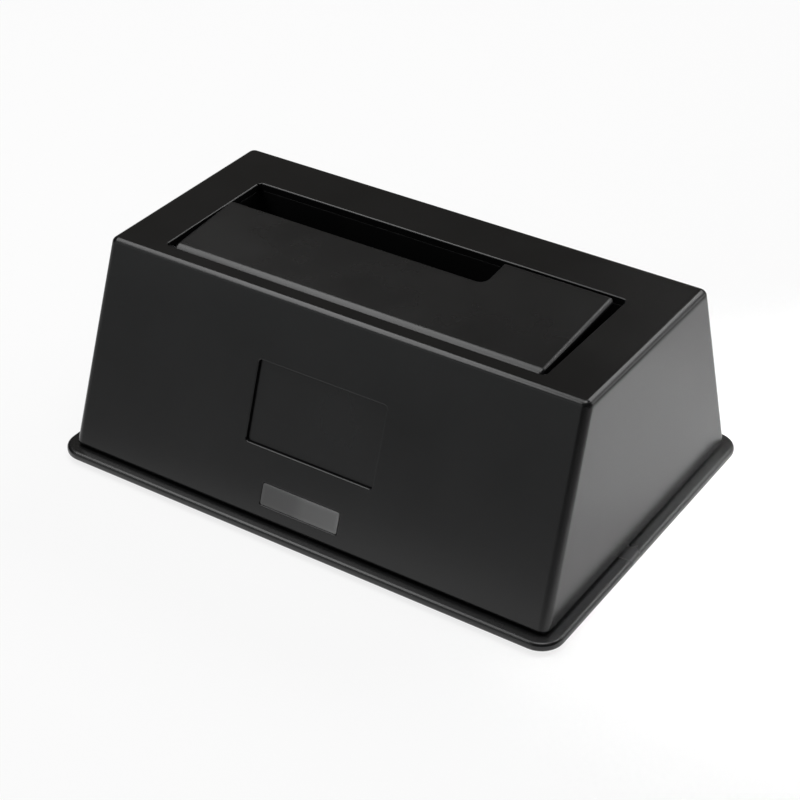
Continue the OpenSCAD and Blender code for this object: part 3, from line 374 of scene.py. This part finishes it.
def wire(name, pts, radius, sides=12):
    bm = bmesh.new()
    tangents = [(pts[min(i + 1, len(pts) - 1)] - pts[max(i - 1, 0)]).normalized() for i in range(len(pts))]
    side = tangents[0].cross(Vector((1.0, 0.0, 0.0))).normalized()
    stations = [(pts[0] - tangents[0] * radius * 0.5, 0.6, 0)]
    stations += [(p, 1.0, i) for i, p in enumerate(pts)]
    stations += [(pts[-1] + tangents[-1] * radius * 0.5, 0.6, len(pts) - 1)]
    rings = []
    for p, k, i in stations:
        t = tangents[i]
        side = (side - t * side.dot(t)).normalized()
        other = t.cross(side)
        rings.append([bm.verts.new((p + (side * math.cos(u) + other * math.sin(u)) * radius * k) * MM)
                      for u in (2 * math.pi * j / sides for j in range(sides))])
    for r0, r1 in zip(rings, rings[1:]):
        for j in range(sides):
            bm.faces.new((r0[j], r0[(j + 1) % sides], r1[(j + 1) % sides], r1[j]))
    bm.faces.new(list(reversed(rings[0])))
    bm.faces.new(rings[-1])
    bmesh.ops.recalc_face_normals(bm, faces=bm.faces)
    mesh = bpy.data.meshes.new(name)
    bm.to_mesh(mesh)
    bm.free()
    return mesh


for node, flip in (("flap_spring_left", -1.0), ("flap_spring_right", 1.0)):
    at = Vector((flip * SPRING_X * MM, HINGE.y, HINGE.z))
    mesh = wire(node + "_wire", [Vector((p.x * flip, p.y, p.z)) for p in coil_path()], WIRE_R)
    mesh.transform(Matrix.Translation(at))
    obj = bpy.data.objects.new(node + "_wire", mesh)
    scene.collection.objects.link(obj)
    mesh.polygons.foreach_set("use_smooth", [True] * len(mesh.polygons))
    mesh.set_sharp_from_angle(angle=math.radians(WIRE_SHARP_ABOVE))
    mesh.materials.append(M["spring_steel"])
    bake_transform(obj)
    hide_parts(node)

for node, obj in frame["nodes"].items():
    obj.data.materials.clear()
    obj.data.materials.append(M[SLOT[node]])


# Camera, from the fit to the outline and straight edges in the photograph

def camera():
    az, el = math.radians(33.3045), math.radians(33.8824)
    back = Vector((math.sin(az) * math.cos(el), -math.cos(az) * math.cos(el), math.sin(el)))
    right = Vector((math.cos(az), math.sin(az), 0.0))
    data = bpy.data.cameras.new("camera")
    data.sensor_width = 36.0
    data.lens = 90.5851
    data.clip_start = 0.01
    obj = bpy.data.objects.new("camera", data)
    scene.collection.objects.link(obj)
    m = Matrix((right, back.cross(right), back)).transposed().to_4x4()
    m.translation = Vector((225.4482, -343.379, 291.9405)) * MM
    obj.matrix_world = m
    scene.camera = obj


camera()


# Floor: white sheet near the object, greyer far from it. To the camera and in reflections most of its white is its
# own, so that the shadow stays soft. Each edge of the sheet has its direction, its distance and how far it fades.

GLOW = 0.8
SHEET_EDGES = (((-0.736, -0.678, 0.0), 0.102, 0.03), ((0.549, -0.836, 0.0), 0.122, 0.04),
               ((1.0, 0.0, 0.0), 0.15, 0.08), ((-0.547, 0.837, 0.0), 0.3, 0.1))


def floor():
    bm = bmesh.new()
    bmesh.ops.create_circle(bm, cap_ends=True, segments=96, radius=6.0)
    mesh = bpy.data.meshes.new("floor")
    bm.to_mesh(mesh)
    bm.free()
    obj = bpy.data.objects.new("floor", mesh)
    scene.collection.objects.link(obj)
    mat, tree, shader, at = start("floor")
    far = 0.0
    for edge, reach, soft in SHEET_EDGES:
        past = map_range(tree, along(tree, at, edge), 0.0, 1.0, reach, reach + soft)
        far = calc(tree, "MAXIMUM", far, past)
    tree.links.new(ramp(tree, far, [(0.0, 0.93), (1.0, 0.6)]), shader.inputs["Base Color"])
    shader.inputs["Roughness"].default_value = 0.9
    shader.inputs["Specular IOR Level"].default_value = 0.1
    glow = tree.nodes.new("ShaderNodeEmission")
    tree.links.new(ramp(tree, far, [(0.0, 1.0), (1.0, 0.42)]), glow.inputs["Color"])
    ray = tree.nodes.new("ShaderNodeLightPath")
    seen = calc(tree, "MAXIMUM", ray.outputs["Is Camera Ray"], ray.outputs["Is Glossy Ray"])
    seen = calc(tree, "MAXIMUM", seen, ray.outputs["Is Transmission Ray"])
    mix = tree.nodes.new("ShaderNodeMixShader")
    tree.links.new(map_range(tree, seen, 0.0, GLOW), mix.inputs["Fac"])
    tree.links.new(shader.outputs["BSDF"], mix.inputs[1])
    tree.links.new(glow.outputs["Emission"], mix.inputs[2])
    tree.links.new(mix.outputs["Shader"], tree.nodes["Material Output"].inputs["Surface"])
    mesh.materials.append(mat)


floor()


# Lamps: size runs along the horizon and size_y across it; the two cards are large and dim, and the patch lights the
# floor that the right side mirrors

def area(name, at, aim, size, power, size_y=None, colour=(1.0, 1.0, 1.0)):
    data = bpy.data.lights.new(name, "AREA")
    data.shape = "RECTANGLE"
    data.size = size
    data.size_y = size_y or size
    data.energy = power
    data.color = colour
    obj = bpy.data.objects.new(name, data)
    scene.collection.objects.link(obj)
    obj.location = at
    obj.visible_camera = False
    obj.rotation_euler = (Vector(aim) - Vector(at)).to_track_quat("-Z", "Y").to_euler()
    return obj


area("overhead", (0.05, 0.05, 1.1), (0.0, 0.0, 0.0), 0.6, 4.6)
area("left", (-0.5, -0.15, 0.88), (0.0, -0.15, 0.03), 1.2, 5.2, 0.36)
area("rear", (0.3, 0.8, 0.75), (0.3, 0.0, 0.03), 0.9, 2.9, 0.3)
area("right", (0.75, 0.77, 0.27), (0.0, 0.0, 0.03), 0.4, 0.8, 0.4)
area("rear_card", (-0.73, 1.11, 0.89), (0.0, 0.0, 0.05), 1.4, 0.33, 1.2, (1.0, 0.9, 0.76))
area("front_card", (-0.55, -1.05, 0.45), (0.0, 0.0, 0.05), 1.2, 1.5, 0.8, (0.97, 1.0, 1.0))
patch = area("floor_patch", (0.42, 0.42, 0.95), (0.115, 0.045, 0.0), 0.06, 0.165)
patch.data.spread = math.radians(9)

world = bpy.data.worlds.new("world")
world.use_nodes = True
world.node_tree.nodes["Background"].inputs["Color"].default_value = (0.02, 0.02, 0.0205, 1)
world.node_tree.nodes["Background"].inputs["Strength"].default_value = 1.0
scene.world = world
scene.view_settings.view_transform = "Standard"
